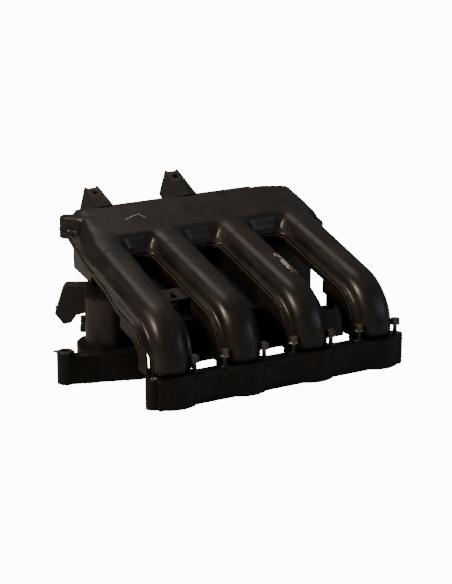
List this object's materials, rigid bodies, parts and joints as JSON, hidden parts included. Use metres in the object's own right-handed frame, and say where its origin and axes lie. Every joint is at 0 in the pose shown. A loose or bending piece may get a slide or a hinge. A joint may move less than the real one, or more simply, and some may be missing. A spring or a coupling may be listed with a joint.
{
  "type": "intake manifold",
  "caption": "Moulded plastic intake manifold with curved runners over a plenum, a thick scalloped head flange with raised captive bolts, and an inlet foot at one end.",
  "frame": {"origin": "middle of the bolt line on the head flange's mating face", "axes": "+X along the head flange, +Y towards the plenum, +Z away from the cylinder head, up through the runner feet"},
  "size_m": [0.3878, 0.321, 0.184],
  "materials": {
    "shell_nylon": "satin glass-filled nylon, brown-black",
    "flange_nylon": "matt glass-filled nylon, brown-black",
    "zinc_steel": "zinc-plated steel, slightly dull",
    "brass": "turned brass",
    "seal_rubber": "matt rubber",
    "clear_nylon": "natural nylon",
    "sensor_plastic": "matt black polyester",
    "tinned_copper": "tinned contact metal",
    "stay_plastic": "grey glass-filled nylon"
  },
  "bodies": {
    "manifold": {"upper_shell": "shell_nylon", "lower_shell": "shell_nylon", "head_flange": "flange_nylon", "port_seal_1": "seal_rubber", "port_seal_2": "seal_rubber", "port_seal_3": "seal_rubber", "port_seal_4": "seal_rubber", "flange_sleeves": "zinc_steel", "bolt_retainers": "clear_nylon", "inlet_flange": "flange_nylon", "inlet_seal": "seal_rubber", "inlet_inserts": "brass", "ear_sleeve": "zinc_steel", "ear_nut": "zinc_steel", "bracket_left": "shell_nylon", "bracket_insert_left": "brass", "bracket_right": "shell_nylon", "bracket_insert_right": "brass", "sensor_body": "sensor_plastic", "sensor_pins": "tinned_copper", "sensor_seal": "seal_rubber", "sensor_screw": "zinc_steel", "vacuum_nipple": "sensor_plastic", "nipple_cap": "seal_rubber", "stay_block": "stay_plastic", "stay_insert": "brass"},
    "washer_2": {"flange_washer_2": "zinc_steel"},
    "bolt_2": {"flange_bolt_2": "zinc_steel"},
    "washer_3": {"flange_washer_3": "zinc_steel"},
    "bolt_3": {"flange_bolt_3": "zinc_steel"},
    "washer_4": {"flange_washer_4": "zinc_steel"},
    "bolt_4": {"flange_bolt_4": "zinc_steel"},
    "washer_5": {"flange_washer_5": "zinc_steel"},
    "bolt_5": {"flange_bolt_5": "zinc_steel"},
    "washer_6": {"flange_washer_6": "zinc_steel"},
    "bolt_6": {"flange_bolt_6": "zinc_steel"},
    "washer_7": {"flange_washer_7": "zinc_steel"},
    "bolt_7": {"flange_bolt_7": "zinc_steel"},
    "washer_8": {"flange_washer_8": "zinc_steel"},
    "bolt_8": {"flange_bolt_8": "zinc_steel"}
  },
  "joints": [
    {"name": "bolt_2_slide", "type": "slide", "parent": "manifold", "child": "washer_2", "axis": [0, 0, -1], "range_m": [-0.006, 0.0105]},
    {"name": "bolt_2_turn", "type": "hinge", "parent": "washer_2", "child": "bolt_2", "pos_m": [-0.107, 0, 0.045], "axis": [0, 0, -1], "continuous": true},
    {"name": "bolt_3_slide", "type": "slide", "parent": "manifold", "child": "washer_3", "axis": [0, 0, -1], "range_m": [-0.006, 0.0105]},
    {"name": "bolt_3_turn", "type": "hinge", "parent": "washer_3", "child": "bolt_3", "pos_m": [-0.069, 0, 0.045], "axis": [0, 0, -1], "continuous": true},
    {"name": "bolt_4_slide", "type": "slide", "parent": "manifold", "child": "washer_4", "axis": [0, 0, -1], "range_m": [-0.006, 0.0105]},
    {"name": "bolt_4_turn", "type": "hinge", "parent": "washer_4", "child": "bolt_4", "pos_m": [-0.019, 0, 0.045], "axis": [0, 0, -1], "continuous": true},
    {"name": "bolt_5_slide", "type": "slide", "parent": "manifold", "child": "washer_5", "axis": [0, 0, -1], "range_m": [-0.006, 0.0105]},
    {"name": "bolt_5_turn", "type": "hinge", "parent": "washer_5", "child": "bolt_5", "pos_m": [0.019, 0, 0.045], "axis": [0, 0, -1], "continuous": true},
    {"name": "bolt_6_slide", "type": "slide", "parent": "manifold", "child": "washer_6", "axis": [0, 0, -1], "range_m": [-0.006, 0.0105]},
    {"name": "bolt_6_turn", "type": "hinge", "parent": "washer_6", "child": "bolt_6", "pos_m": [0.069, 0, 0.045], "axis": [0, 0, -1], "continuous": true},
    {"name": "bolt_7_slide", "type": "slide", "parent": "manifold", "child": "washer_7", "axis": [0, 0, -1], "range_m": [-0.006, 0.0105]},
    {"name": "bolt_7_turn", "type": "hinge", "parent": "washer_7", "child": "bolt_7", "pos_m": [0.107, 0, 0.045], "axis": [0, 0, -1], "continuous": true},
    {"name": "bolt_8_slide", "type": "slide", "parent": "manifold", "child": "washer_8", "axis": [0, 0, -1], "range_m": [-0.006, 0.0105]},
    {"name": "bolt_8_turn", "type": "hinge", "parent": "washer_8", "child": "bolt_8", "pos_m": [0.157, 0, 0.045], "axis": [0, 0, -1], "continuous": true}
  ]
}
